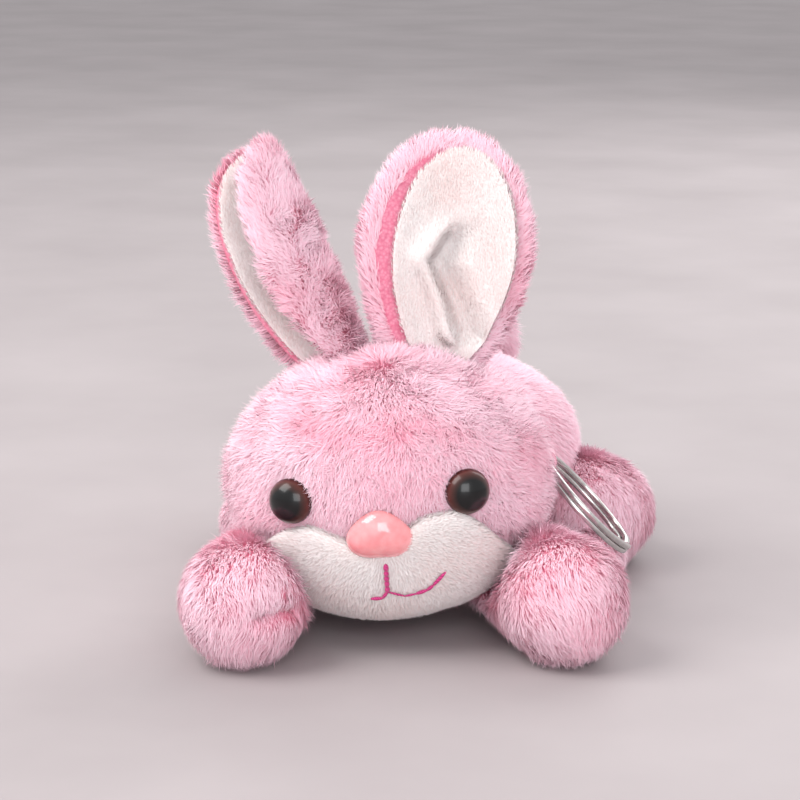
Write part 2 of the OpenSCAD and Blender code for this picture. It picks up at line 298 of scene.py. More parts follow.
def pile(name, grid, count, length, width, nap, lean, seed, material,
         keep=None, short=None, tone_and_shade=None, ruffle=1.0, spin=0.45, rows=None, floor=0.15):
    """Blades with root p, bend p + L/2 d0 and tip p + L/2 (d0 + d1), d1 leaning further than d0."""
    draw = np.random.default_rng(seed)
    normals = outward(grid)
    spots, facing = sown(grid[:rows], normals[:rows], count, draw)
    if keep is not None:
        kept = keep(spots)
        spots, facing = spots[kept], facing[kept]
    count = len(spots)
    wander = drift(spots, 3.2, seed + 1) + 0.7 * drift(spots, 8, seed + 2)
    wander += 0.35 * draw.normal(size=spots.shape)
    way = lean * nap(spots) + ruffle * 0.75 * wander
    way -= facing * (way * facing).sum(axis=-1, keepdims=True)
    early = unit(facing + 0.75 * way)
    late = unit(0.5 * facing + 1.3 * way)
    span = length * mm * draw.uniform(0.75, 1.2, (count, 1))
    if short is not None:
        span *= short(spots)[:, None]
    middle = spots + 0.5 * span * early
    tip = middle + 0.5 * span * late
    root = spots - 0.25 * mm * facing
    side = unit(np.cross(late, facing) + 1e-6)
    twist = draw.uniform(-spin, spin, (count, 1))
    side = unit(np.cos(twist) * side + np.sin(twist) * np.cross(side, late))
    half = 0.5 * width * mm * draw.uniform(0.75, 1.25, (count, 1))
    corners = np.stack([root - half * side, root + half * side, middle - 0.85 * half * side,
                        middle + 0.85 * half * side, tip], axis=1)
    corners[..., 2] = np.maximum(corners[..., 2], floor * mm)
    broad = np.cross(side, late)
    broad *= np.sign((broad * facing).sum(axis=-1, keepdims=True))
    flip = (np.cross(corners[:, 1] - corners[:, 0], corners[:, 4] - corners[:, 0]) * broad).sum(axis=-1) < 0
    corners[flip] = corners[flip][:, [1, 0, 3, 2, 4]]
    shade = unit(facing + 0.35 * broad + 0.12 * draw.normal(size=facing.shape))
    shades = np.repeat(shade[:, None], 5, axis=1).reshape(-1, 3)
    first = 5 * np.arange(count)[:, None]
    polygons = (first + np.array([0, 1, 3, 2, 2, 3, 4])).ravel()
    sizes = np.tile([4, 3], count)
    mood = 0.5 + 0.25 * drift(spots, 9, seed + 3)[:, 0] + 0.08 * draw.normal(size=count)
    # tone_and_shade lowers the hair's tone where shade is painted, at partings and seams.
    if tone_and_shade is not None:
        mood = mood + tone_and_shade(spots)
    mood = np.clip(mood, 0.02, 0.97)[:, None]
    across = np.array([0, 0.02, 0.02, 0, 0, 0.02, 0.01])
    up = np.array([0.02, 0.02, 0.5, 0.5, 0.5, 0.5, 0.98])
    uv = np.stack([mood + across, np.broadcast_to(up, (count, 7))], axis=-1).reshape(-1, 2)
    thing = to_mesh(name, corners.reshape(-1, 3), polygons, sizes, uv, shades)
    thing.data.materials.append(material)
    print(name, count, "hairs")
    return thing


# %% [markdown]
# ## Finishes
# Every finish is a small node group of its own. The pile colour is a ramp along the hair, darker at the root
# as painted shade deep in the pile, and darkened or lightened by the hair's tone, which varies at random and
# is lowered where shade is painted. Numbers that are the same all over sit on the shader's own sockets.


# %% Material helpers
def colour(red, green, blue):
    """A screen colour of 0 to 255 as the linear values that a shader takes."""
    screen = np.array([red, green, blue]) / 255
    straight = np.where(screen <= 0.04045, screen / 12.92, ((screen + 0.055) / 1.055) ** 2.4)
    return (*straight.tolist(), 1.0)


def finish(name, **sockets):
    """A new material, its shader with these values, and a maker of further nodes."""
    material = bpy.data.materials.new(name)
    material.use_nodes = True
    tree = material.node_tree
    shader = tree.nodes["Principled BSDF"]
    for socket, value in sockets.items():
        shader.inputs[socket.replace("_", " ")].default_value = value
    return material, tree, shader


def node(tree, kind, values=None, **settings):
    """A node of one kind with its settings, and values for its input sockets by name or number."""
    made = tree.nodes.new(kind)
    for setting, value in settings.items():
        setattr(made, setting, value)
    for socket, value in (values or {}).items():
        made.inputs[socket].default_value = value
    return made


def ramp(tree, source, stops):
    """A colour ramp driven by a socket, with stops as (place, colour)."""
    made = tree.nodes.new("ShaderNodeValToRGB")
    while len(made.color_ramp.elements) < len(stops):
        made.color_ramp.elements.new(0.5)
    for element, (place, shade) in zip(made.color_ramp.elements, stops):
        element.position = place
        element.color = shade
    tree.links.new(source, made.inputs["Fac"])
    return made.outputs["Color"]


def own_map(tree):
    """The two coordinates of the piece's own UV map."""
    source = node(tree, "ShaderNodeUVMap", uv_map="UVMap")
    parted = tree.nodes.new("ShaderNodeSeparateXYZ")
    tree.links.new(source.outputs["UV"], parted.inputs[0])
    return parted.outputs["X"], parted.outputs["Y"]


def multiplied(tree, first, second):
    """Two colours multiplied."""
    mix = node(tree, "ShaderNodeMix", data_type="RGBA", blend_type="MULTIPLY")
    mix.inputs[0].default_value = 1
    tree.links.new(first, mix.inputs[6])
    tree.links.new(second, mix.inputs[7])
    return mix.outputs[2]


def bumped(tree, shader, height, strength, distance):
    """A bump from a height socket into the shader's normal."""
    bump = node(tree, "ShaderNodeBump", {"Strength": strength, "Distance": distance * mm})
    tree.links.new(height, bump.inputs["Height"])
    tree.links.new(bump.outputs["Normal"], shader.inputs["Normal"])


def pile_finish(name, root, middle, tip, deep, **sockets):
    """Hair colour: a ramp from root to tip, darker at the root as painted shade deep in the pile, times a
    ramp from deep to white by the hair's tone, which varies at random and is lowered where shade is painted.
    """
    material, tree, shader = finish(name, **sockets)
    tone_and_shade, height = own_map(tree)
    # The darker root colour is painted shade deep in the pile.
    along = ramp(tree, height, [(0.0, root), (0.5, middle), (1.0, tip)])
    across = ramp(tree, tone_and_shade, [(0.0, deep), (0.55, (1, 1, 1, 1))])
    tree.links.new(multiplied(tree, along, across), shader.inputs["Base Color"])
    return material


def backing_finish(name, light, dark, **sockets):
    """Knitted backing cloth: small round cells, light in the middle and darker between, a painted shade in
    the hollows between the loops.
    """
    material, tree, shader = finish(name, **sockets)
    place = node(tree, "ShaderNodeTexCoord").outputs["Object"]
    cells = node(tree, "ShaderNodeTexVoronoi", {"Scale": 1800.0})
    tree.links.new(place, cells.inputs["Vector"])
    # Painted shade: darker towards the cell edges where the loops meet.
    shades = ramp(tree, cells.outputs["Distance"], [(0.0, light), (0.8, dark)])
    tree.links.new(shades, shader.inputs["Base Color"])
    bumped(tree, shader, cells.outputs["Distance"], 0.5, 0.2)
    return material


# %% The plush, thread and ribbon finishes
# Each pile's root colour is darker than its tip: painted shade deep in the pile.
pink_pile = pile_finish(
    "pink_pile", colour(252, 172, 196), colour(255, 210, 225), colour(255, 232, 241), colour(252, 198, 212),
    Roughness=0.8, Sheen_Weight=0.35, Sheen_Roughness=0.4, Sheen_Tint=colour(255, 226, 236))
white_pile = pile_finish(
    "white_pile", colour(238, 220, 219), colour(242, 234, 232), colour(244, 239, 238), colour(248, 218, 216),
    Roughness=0.85, Sheen_Weight=0.3, Sheen_Roughness=0.4)
pink_backing = backing_finish("pink_backing", colour(250, 172, 194), colour(232, 128, 156), Roughness=0.9)
white_backing = backing_finish("white_backing", colour(252, 246, 245), colour(240, 226, 224), Roughness=0.9)


def strand_finish(name, light, dark, twist, **sockets):
    """Twisted thread: slanting bands across the strand, a painted highlight on each ply and painted shade
    between.
    """
    material, tree, shader = finish(name, **sockets)
    around, along = own_map(tree)
    slant = node(tree, "ShaderNodeMath", {1: twist}, operation="MULTIPLY")
    tree.links.new(along, slant.inputs[0])
    total = node(tree, "ShaderNodeMath", operation="ADD")
    tree.links.new(around, total.inputs[0])
    tree.links.new(slant.outputs[0], total.inputs[1])
    turn = node(tree, "ShaderNodeMath", {1: 4 * math.pi}, operation="MULTIPLY")
    tree.links.new(total.outputs[0], turn.inputs[0])
    wave = node(tree, "ShaderNodeMath", operation="SINE")
    tree.links.new(turn.outputs[0], wave.inputs[0])
    rise = node(tree, "ShaderNodeMapRange", {"From Min": -1.0, "From Max": 1.0})
    tree.links.new(wave.outputs[0], rise.inputs["Value"])
    # Painted light and shade: bright on each ply, dark in the groove between plies.
    tree.links.new(ramp(tree, rise.outputs[0], [(0.0, dark), (0.7, light)]), shader.inputs["Base Color"])
    bumped(tree, shader, rise.outputs[0], 0.6, 0.12)
    return material


magenta_thread = strand_finish("magenta_thread", colour(222, 48, 136), colour(150, 18, 84), 3,
                               Roughness=0.45, Sheen_Weight=0.3)


def woven_finish(name, light, dark, **sockets):
    """Woven ribbon: ribs across it, from a fine wave on the object's own place, lighter on each rib and
    darker between as painted shade.
    """
    material, tree, shader = finish(name, **sockets)
    place = node(tree, "ShaderNodeTexCoord").outputs["Object"]
    wave = node(tree, "ShaderNodeTexWave", {"Scale": 900.0, "Distortion": 1.5}, bands_direction="DIAGONAL")
    tree.links.new(place, wave.inputs["Vector"])
    # Painted shade: darker in the grooves between the ribs.
    tree.links.new(ramp(tree, wave.outputs["Fac"], [(0.0, dark), (0.8, light)]), shader.inputs["Base Color"])
    bumped(tree, shader, wave.outputs["Fac"], 0.5, 0.1)
    return material


ribbon_finish = woven_finish("pink_ribbon_weave", colour(250, 186, 204), colour(226, 132, 160),
                             Roughness=0.5, Sheen_Weight=0.3)
tack_finish = woven_finish("pink_tack_thread", colour(244, 120, 160), colour(206, 70, 120), Roughness=0.5)

# %% [markdown]
# The eye is a clear brown dome over a black pupil, the nose is cast in milky pink plastic, and the
# ring is polished spring steel. A hard gloss coat gives the first two their small bright window.


# %% Plastic, steel and stuffing finishes
def eye_finish():
    """Black in the middle and dark brown at the rim, by the dome's own radius in its UV map."""
    material, tree, shader = finish("brown_dome", Roughness=0.3, IOR=1.35,
                                    Coat_Weight=0.8, Coat_Roughness=0.02, Coat_IOR=1.3)
    radius = own_map(tree)[1]
    behind, brown, shade, black = colour(40, 20, 18), colour(84, 38, 32), colour(52, 26, 22), colour(8, 7, 8)
    stops = [(0.0, behind), (0.5, behind), (0.62, brown), (0.72, shade), (0.78, black)]
    tree.links.new(ramp(tree, radius, stops), shader.inputs["Base Color"])
    return material


def cast_finish(name, light, dark, size, **sockets):
    """Cast plastic: a slow cloud of slightly different colour."""
    material, tree, shader = finish(name, **sockets)
    place = node(tree, "ShaderNodeTexCoord").outputs["Object"]
    cloud = node(tree, "ShaderNodeTexNoise", {"Scale": 1 / (size * mm), "Detail": 3.0})
    tree.links.new(place, cloud.inputs["Vector"])
    shades = ramp(tree, cloud.outputs["Fac"], [(0.35, dark), (0.65, light)])
    tree.links.new(shades, shader.inputs["Base Color"])
    return material


def steel_finish():
    """Polished steel with fine drawn lines that make it a little rougher in places."""
    material, tree, shader = finish("polished_spring_steel", Metallic=1.0)
    place = node(tree, "ShaderNodeTexCoord").outputs["Object"]
    lines = node(tree, "ShaderNodeTexNoise", {"Scale": 900.0, "Detail": 4.0})
    tree.links.new(place, lines.inputs["Vector"])
    shades = [(0.3, colour(196, 194, 192)), (0.7, colour(222, 220, 217))]
    tree.links.new(ramp(tree, lines.outputs["Fac"], shades), shader.inputs["Base Color"])
    rough = node(tree, "ShaderNodeMapRange", {"To Min": 0.1, "To Max": 0.3})
    tree.links.new(lines.outputs["Fac"], rough.inputs["Value"])
    tree.links.new(rough.outputs[0], shader.inputs["Roughness"])
    return material


brown_dome = eye_finish()
nose_plastic = cast_finish(
    "milky_pink_plastic", colour(246, 168, 170), colour(238, 146, 150), 3, Roughness=0.16, IOR=1.48,
    Subsurface_Weight=0.35, Subsurface_Radius=(1.0, 0.45, 0.4), Subsurface_Scale=0.0015,
    Coat_Weight=0.8, Coat_Roughness=0.05)
washer_plastic = cast_finish("washer_nylon", colour(226, 226, 220), colour(206, 206, 200), 2, Roughness=0.4)
spring_steel = steel_finish()
print(len(bpy.data.materials), "finishes")

# %% [markdown]
# ## The skins
# Head, body, arms, legs and tail are globes around melted forms. Each skin lies a little inside its
# solid, because the pile that stands on it fills the rest. Dents for seams and folds are pushed in
# along the skin's normal afterwards.

# %% Skin sizes
skin_in = 1.4
pile_length = 3.7


def grown(size, by):
    """A size with the same amount added to each half axis."""
    return [value + by for value in size]


def skin(centre, forms, softness=2.0, rows=150, columns=200, floor=0.6):
    """The globe of melted forms around a centre, pressed flat on the ground."""
    return pressed(globe(centre, melted(forms, softness), rows, columns), floor * mm)


head_form = oval(head, grown((30, 23.5, 24.5), -skin_in))
chin_form = oval(inside(head, (0, -13.5, -12.5)), grown((24, 10.5, 10.5), -skin_in))
head_skin = skin(head[0], [head_form], rows=110, columns=140)
body_home = inside(ground, (0, 0, 21))
chest_home = inside(front, (0, -14, 15))
body_forms = [oval(body_home, grown((29, 36.5, 22), -skin_in)),
              oval(chest_home, grown((22, 22, 16), -skin_in))]
body_skin = skin(body_home[0], body_forms, rows=110, columns=150)
print("head skin, mm:", np.round(np.ptp(head_skin.reshape(-1, 3), axis=0) / mm, 1))

# %% [markdown]
# An arm is a rod that widens to the paw, and a leg is a round haunch with a foot that points forward.
# Three short seams gather the top of each paw, so the skin sinks along them, and the pile on them is painted
# darker as shade in the creases.


# %% Arms, legs and tail
def arm_home(side, out):
    """The shoulder's frame, with the arm running along -Y."""
    return inside(front, (side * 19, -25, 11.4), turned("z", side * out))


arm_homes = {"arm_left": arm_home(-1, 12), "arm_right": arm_home(1, 24)}
leg_homes = {"leg_left": (-1, inside(ground, (-29.5, 9, 0))), "leg_right": (1, inside(ground, (29.5, 9, 0)))}
paw_seams = {
    "arm_right": [[(44.9, -66.6, 12.5), (48, -69, 10.5), (53, -71, 9), (60.1, -66.1, 8.6)],
                  [(46.6, -67.2, 15.1), (50.7, -69, 12.7), (55, -69.1, 12.4)],
                  [(48, -67.1, 17.1), (52, -68.6, 15.4), (56.5, -68.4, 15.1)]],
    "arm_left": [[(-4.7, -92.4, 9.9), (-2, -92.4, 11.6), (1.9, -90.5, 13), (5.4, -76.3, 11.5)]],
}


def dented(grid, paths, width, depth):
    """A skin sunk along seams: point - depth times nearness times normal."""
    near = sum(near_line(grid, path, width) for path in paths)
    return grid - (depth * mm * np.minimum(near, 1))[..., None] * outward(grid)


def arm_skin(part):
    """A rod from the shoulder to the paw, 32 long, dented along its paw seams."""
    home = arm_homes[part]
    form = rod(home, (0, 0, 0), (0, -32, 0), 9 - skin_in, 12 - skin_in)
    form = carved(carved(form, head_form, 3.4), chin_form, 3.4)
    grid = skin(placed(home, np.array([0, -24 * mm, -3 * mm])), [form], rows=100, columns=120)
    return dented(grid, paw_seams[part], 1.5, 2.6)


def leg_skin(part):
    """A haunch melted into a foot."""
    side, home = leg_homes[part]
    haunch = oval(inside(home, (0, 0, 10.9)), grown((14.5, 14.5, 11.5), -skin_in))
    foot_home = inside(home, (0, 0, 0), turned("z", side * 17))
    foot = rod(foot_home, (side * 3, 0, 5.6), (side * 3, -20, 5.6), 6.2 - skin_in, 6.2 - skin_in)
    return skin(placed(home, np.array([0, -3 * mm, 9 * mm])), [haunch, foot], rows=80, columns=100)


tail_home = inside(ground, (0, 25, 41))
skins = {"arm_left": arm_skin("arm_left"), "arm_right": arm_skin("arm_right"),
         "leg_left": leg_skin("leg_left"), "leg_right": leg_skin("leg_right"),
         "tail": globe(tail_home[0], oval(tail_home, (6, 6, 6)), 36, 48)}

# %% [markdown]
# ## Ears
# An ear is a flat leaf of plush, lined with short white pile. The right one is dished, and the left
# one is folded double. Its surface takes two angles: one goes round the leaf's outline, the other from
# the middle of the back, over the rim, to the middle of the front. The lining is a smaller leaf laid in
# the hollow.

# %% Leaf shapes
ear_length = 41
ear_half_w = 15
root_depth = 6


def smooth_step(value, low, high):
    """0 below low, 1 above high, 3 t squared - 2 t cubed between them."""
    t = np.clip((value - low) / (high - low), 0, 1)
    return t * t * (3 - 2 * t)


def leaf(home, inset, thick, fold, taper, full, rows, columns, sink=0.0, aside=0.0, relief=None):
    """Across: s = r cos a W(z) on the fold's curve; along: z; off the curve: thick sin b, r = cos b.
    The outline is |cos a|^full, |sin a|^full: 1 is an ellipse, and less is squarer."""
    b = np.linspace(-np.pi / 2, np.pi / 2, rows)[:, None]
    a = np.linspace(0, 2 * np.pi, columns, endpoint=False)[None]
    r = np.cos(b)
    wide, high = (np.sign(wave) * np.abs(wave) ** full for wave in (np.cos(a), np.sin(a)))
    z = (ear_length - root_depth) / 2 + ((ear_length + root_depth) / 2 - inset) * r * high
    narrow = taper + (1 - taper) * smooth_step(z, 0, 0.5 * ear_length)
    s = ((ear_half_w - inset) * r * wide + aside) * narrow
    off = sink - thick * np.sign(np.sin(b)) * np.abs(np.sin(b)) ** 0.8
    if relief is not None:
        off = off + relief(s, z)
    x, y = fold(s)
    step_x, step_y = (after - before for after, before in zip(fold(s + 0.1), fold(s - 0.1)))
    size = np.hypot(step_x, step_y)
    return placed(home, np.stack([x - off * step_y / size, y + off * step_x / size, z + 0 * x], axis=-1) * mm)


def dished(s):
    """A shallow trough: x = s, y = -s squared / 48."""
    return s, -s * s / 48


def doubled(s):
    """A leaf folded double: x = 5 tanh(s / 5), y = -1.14 (sqrt(s squared + 25) - 5)."""
    return 5 * np.tanh(s / 5), -1.14 * (np.sqrt(s * s + 25) - 5)


def ear_home(at, turn, twist):
    """The root's frame on the head: turned about z, tipped about x, leaned about y, then twisted."""
    turning = turned("z", turn[2]) @ turned("x", turn[0]) @ turned("y", turn[1]) @ turned("z", twist)
    return inside(head, at, turning)


ear_homes = {"ear_left": ear_home((-8.5, 7, 24.2), (-6, -22, -10), -47),
             "ear_right": ear_home((9.5, 4, 22.6), (-8, 9, 0), 0)}


def pleat(x, z):
    """The right lining's fold: it drops behind a slanting edge and rises again further right."""
    edge = np.interp(z, [0, 2, 9.5, 17, 23, 27], [6.5, 5, 1.4, -3.2, -0.3, 3])
    behind = smooth_step(x - edge, -0.8, 0.8) * (1 - smooth_step(x - edge, 1.5, 9))
    upper = smooth_step(z, 1, 4) * (1 - smooth_step(z, 20, 26))
    return 2.2 * behind * upper - 1.9 * np.exp(-((x - edge + 1.4) / 2.4) ** 2) * upper


ear_shapes = {
    "ear_left": {"fold": doubled, "taper": 0.85, "full": 0.72, "inset": 1.6, "aside": -1.3, "border": 32,
                 "relief": None},
    "ear_right": {"fold": dished, "taper": 0.85, "full": 0.94, "inset": 2.9, "aside": 1.9, "border": 40,
                  "relief": pleat},
}
for part, shape in ear_shapes.items():
    home = ear_homes[part]
    skins[part] = leaf(home, 0.8, 1.9, shape["fold"], shape["taper"], shape["full"], 60, 100, sink=1.6)
    skins[part + "_lining"] = leaf(home, shape["inset"], 0.7, shape["fold"], shape["taper"], shape["full"],
                                   110, 130, sink=-1.8, aside=shape["aside"], relief=shape["relief"])
print("skins:", sorted(skins))

# %% [markdown]
# ## The muzzle
# The muzzle is a lens of short white plush sewn on below the eyes. Across the face its edge runs from
# one tip over two cheeks, dipping under the nose, to the other tip; below it bulges like a chin. On
# the head's oval both edges are latitudes that depend on how far across the lens one is.

# %% Muzzle surface
head_half = np.array([30, 23.5, 24.5])


def on_head(longitude, latitude, proud):
    """A point over the head's oval in degrees: half axes plus proud, times the unit direction."""
    lon, lat = np.radians(longitude), np.radians(latitude)
    way = np.stack([np.cos(lat) * np.sin(lon), -np.cos(lat) * np.cos(lon), np.sin(lat) + 0 * lon], axis=-1)
    return (head_half + np.asarray(proud)[..., None]) * way


muzzle_middle = -2.5
muzzle_reach = 67.5
edge_at = np.array([-70, -50, -36, -26, -14, -4, 4, 13, 26, 32, 49, 65])
edge_up = np.array([-30, -19, -11, -8, -14, -18, -14, -5, -3, -8, -23, -33])
edge_lon = np.linspace(-70, 65, 271)
sharp_edge = np.interp(edge_lon, edge_at, edge_up)
edge_lat = np.convolve(np.pad(sharp_edge, 6, mode="edge"), np.ones(13) / 13, "valid")


def muzzle_edges(s):
    """Upper and lower edge in degrees at s from -1 to 1 across the lens: the upper is given
    points averaged along the edge, and the lower sags by 27 (1 - s squared)^0.62."""
    swell = np.clip(1 - s * s, 0, 1)
    upper = np.interp(muzzle_middle + muzzle_reach * s, edge_lon, edge_lat)
    return upper, -31.5 - 1.5 * s - 27 * swell**0.62


def muzzle_grid(rows, columns):
    """Rows run from tip to tip, and columns go round: front from lower to upper edge, then behind."""
    s = -np.cos(np.linspace(0, np.pi, rows))[:, None]
    turn = np.linspace(0, 2 * np.pi, columns, endpoint=False)[None]
    upper, lower = muzzle_edges(s)
    latitude = lower + (upper - lower) * (1 - np.cos(turn)) / 2
    longitude = muzzle_middle + muzzle_reach * s + 0 * turn
    bulge = np.clip(1 - s * s, 0, 1) ** 0.5
    front_side = np.clip(np.sin(turn), 0, 1) ** 0.6
    chin = smooth_step(-latitude, 12, 50)
    out = -0.3 + (2.9 + 1.8 * chin) * front_side * bulge
    proud = np.where(np.sin(turn) > 0, out, -0.3 + 1.5 * np.sin(turn) * bulge)
    return placed(head, on_head(longitude, latitude, proud) * mm)


skins["muzzle"] = muzzle_grid(100, 110)

# %% [markdown]
# ## Dressing the parts
# Each stuffed part is one padded piece, the sewn skin with its stuffing, and its pile rides with it.
# Hairs that would grow deep inside a neighbour are left out. The nap runs away from a crown
# between the ears, back along the body and down each limb.


# %% Nap directions and clearings
def away_from(point):
    """Nap that runs away from one point."""
    return lambda spots: unit(spots - np.asarray(point))


def over(point, drop=1.0):
    """Nap that runs away from one point and down."""
    return lambda spots: unit(spots - np.asarray(point)) - np.array([0, 0, drop])


def along(direction):
    """Nap that runs one way."""
    way = unit(np.array(direction, float))
    return lambda spots: np.broadcast_to(way, spots.shape)


crown = placed(head, on_head(np.array(8.0), np.array(76.0), 0.0) * mm)
eye_spots = {-1: (-16.5, 1.3), 1: (15.4, 2.0)}
nose_spot = (-0.5, -4.7)


def face_place(x, z, proud=0.0):
    """The head's own place (x, y, z) on its front, from y = -b sqrt(1 - (x / a)^2 - (z / c)^2)."""
    a, b, c = head_half + proud
    return np.array([x, -b * math.sqrt(1 - (x / a) ** 2 - (z / c) ** 2), z])


def head_keep(spots):
    """Hairs stay off the muzzle, the nose and the eyes."""
    p = local(head, spots) / mm
    way = unit(p / head_half)
    latitude = np.degrees(np.arcsin(np.clip(way[:, 2], -1, 1)))
    longitude = np.degrees(np.arctan2(way[:, 0], -way[:, 1]))
    s = (longitude - muzzle_middle) / muzzle_reach
    upper, lower = muzzle_edges(np.clip(s, -1, 1))
    muzzle = (np.abs(s) < 1) & (latitude < upper + 0.3) & (latitude > lower + 2) & (p[:, 1] < 0)
    eyes = np.zeros(len(p), bool)
    for x, z in eye_spots.values():
        eyes |= np.linalg.norm(p - face_place(x, z), axis=1) < 3.5
    nose = np.linalg.norm(p - face_place(*nose_spot), axis=1) < 4.6
    return ~(muzzle | eyes | nose)


def clear_of(*forms, depth=3.0):
    """Hairs whose root is not deeper than this inside a neighbour."""
    return lambda spots: np.all([form(spots) > -depth * mm for form in forms], axis=0)


body_form = melted(body_forms, 2.0)
arm_forms = {part: rod(home, (0, 0, 0), (0, -32, 0), 7.6, 10.6) for part, home in arm_homes.items()}
leg_forms = {part: oval(inside(home, (0, 0, 10.9)), (13, 13, 10)) for part, (side, home) in leg_homes.items()}


def dressed(part, body, grid, count, nodes, nap, lean=0.8, keep=None, short=None, tone_and_shade=None,
            split=1, seed=1, length=pile_length, width=0.15, ruffle=1.0, rows=None):
    """One skin as a padded piece that stands for its solids, and its pile in one or more pieces."""
    cover = closed(part + "_skin", grid, pink_backing)
    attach(cover, body)
    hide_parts(*nodes)
    for share in range(split):
        name = part + "_pile" + ("" if split == 1 else f"_{share + 1}")
        fur = pile(name, grid, count // split, length, width, nap, lean, seed + 100 * share, pink_pile,
                   keep, short, tone_and_shade, ruffle, rows=rows)
        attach(fur, body)
    return cover


# %% Head and body
def head_short(spots):
    """Hairs near the eyes, the nose and the muzzle's upper edge are shorter."""
    p = local(head, spots) / mm
    way = unit(p / head_half)
    latitude, longitude = np.degrees(np.arcsin(way[:, 2])), np.degrees(np.arctan2(way[:, 0], -way[:, 1]))
    s = (longitude - muzzle_middle) / muzzle_reach
    gap = 0.43 * np.abs(latitude - muzzle_edges(np.clip(s, -1, 1))[0]) + 1
    gap = np.where(np.abs(longitude) < 70, gap, 99)
    for x, z in [*eye_spots.values(), nose_spot]:
        gap = np.minimum(gap, np.linalg.norm(p - face_place(x, z), axis=1))
    return 0.5 + 0.5 * smooth_step(gap, 2, 8)


def head_parting_shade(spots):
    """The pile parts across the forehead: a lower tone along the parting paints the shade there."""
    path = [placed(head, on_head(np.array(lon), np.array(lat), 0.0) * mm) / mm
            for lon, lat in ((-32.0, 36.0), (-10.0, 33.0), (14.0, 38.0), (34.0, 30.0))]
    # Painted shade: the hairs along the parting take a darker tone.
    return -0.3 * near_line(spots, path, 3)


dressed("head", "head", head_skin, 174000, ["head_cover", "head_stuffing"], away_from(crown), 0.9, head_keep,
        head_short, head_parting_shade, split=3, seed=11)
dressed("body", "torso", body_skin, 102000, ["torso_cover", "torso_stuffing"],
        over(placed(head, np.array([0, -10, 24]) * mm), 0.8), 1.1,
        clear_of(head_form, *arm_forms.values(), *leg_forms.values(), depth=1.5), split=2, seed=21)

# %% Arms, legs and tail
def gathered(seams, width):
    """1 on a paw's seams and 0 away from them."""
    return lambda spots: np.minimum(sum(near_line(spots, seam, width) for seam in seams), 1)


def scaled(field, start, change):
    """start + change times a field."""
    return lambda spots: start + change * field(spots)


for part, number in (("arm_left", 31), ("arm_right", 41)):
    seams = paw_seams[part]
    dressed(part, part, skins[part], 37000, [part + "_cover", part + "_stuffing"],
            over(placed(arm_homes[part], np.array([0, 4, 14]) * mm)), 1.1,
            clear_of(head_form, chin_form, body_form, depth=-1.4),
            # tone_and_shade: the pile on the paw seams takes a darker tone, painted shade in the creases.
            short=scaled(gathered(seams, 1.4), 1, -0.55), tone_and_shade=scaled(gathered(seams, 1.1), 0, -0.7),
            seed=number, length=3.1)
for part, number in (("leg_left", 51), ("leg_right", 61)):
    dressed(part, part, skins[part], 42000, [part + "_cover", part + "_stuffing"],
            over(placed(leg_homes[part][1], np.array([-8 * leg_homes[part][0], 14, 20]) * mm)), 1.1,
            clear_of(body_form, depth=1.5), seed=number, length=3.2)
dressed("tail", "tail", skins["tail"], 10000, ["tail_cover", "tail_stuffing"],
        away_from(placed(tail_home, np.array([0, -3, 9]) * mm)), 0.8, seed=71)

# %% Ears and muzzle
def spread(home):
    """Nap up the ear and out from its middle line."""
    return lambda spots: unit(home[1][:, 2] + unit(spots - placed(home, np.array([0, 0, 16]) * mm)))


for part, number in (("ear_left", 81), ("ear_right", 91)):
    dressed(part, part, skins[part], 37000, [part + "_back"], spread(ear_homes[part]), 1.0, seed=number,
            length=2.8, rows=ear_shapes[part]["border"])


def white_piece(part, body, node_name, count, nap, number):
    """A short-pile piece: its white backing and its dense pile a millimetre long."""
    cover = closed(part + "_skin", skins[part], white_backing)
    fur = pile(part + "_pile", skins[part], count, 1.2, 0.16, nap, 1.2, number, white_pile,
               ruffle=0.5, spin=0.3)
    for thing in (cover, fur):
        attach(thing, body)
    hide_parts(node_name)


for part, count, number in (("ear_left", 26000, 101), ("ear_right", 30000, 111)):
    lining = part + "_lining"
    white_piece(lining, part, lining, count, along(ear_homes[part][1][:, 2]), number)
white_piece("muzzle", "head", "muzzle_patch", 44000, away_from(placed(head, face_place(0, -6) * mm)), 121)

# %% [markdown]
# ## Eyes, nose and mouth
# The eyes and the nose are snap-in buttons: a domed front over a flat back. A button's outline is a
# radius that depends on the angle; for the nose that makes a rounded triangle with its point down.


# %% Buttons
def button(home, outline, dome, back, rows=60, columns=72):
    """x, y = outline(a) cos b, z = dome sin b in front and back sin b behind; z is the way out."""
    b = np.linspace(-np.pi / 2, np.pi / 2, rows)[:, None]
    a = np.linspace(0, 2 * np.pi, columns, endpoint=False)[None]
    r = outline(a) * np.cos(b)
    z = np.where(b > 0, dome, back) * np.sin(b) + 0 * a
    return placed(home, np.stack([r * np.cos(a), r * np.sin(a), z], axis=-1) * mm)


def face_home(x, z, proud, out, tip):
    """A frame on the face whose z axis points out of it, turned out to the side and tipped down."""
    return inside(head, face_place(x, z, proud), turned("z", out) @ turned("x", 90 + tip))


for side, body_name in ((-1, "eye_left"), (1, "eye_right")):
    x, z = eye_spots[side]
    dome = button(face_home(x, z, 0.0, side * 22, 0), lambda a: 4.2 + 0 * a, 3.2, 1.2)
    eye = closed(body_name + "_button", dome, brown_dome)
    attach(eye, "head")
    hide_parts(body_name + "_dome", body_name)


def nose_outline(a):
    """Radius of an ellipse 12 by 9, times 1 - 0.075 sin 3a, which gives it three soft corners."""
    return 1 / np.sqrt((np.cos(a) / 6.0) ** 2 + (np.sin(a) / 4.5) ** 2) * (1 - 0.075 * np.sin(3 * a))


nose = closed("nose_button", button(face_home(-0.5, -4.6, 0.6, 0, 8), nose_outline, 3.2, 1.5), nose_plastic)
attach(nose, "head")
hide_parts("nose")

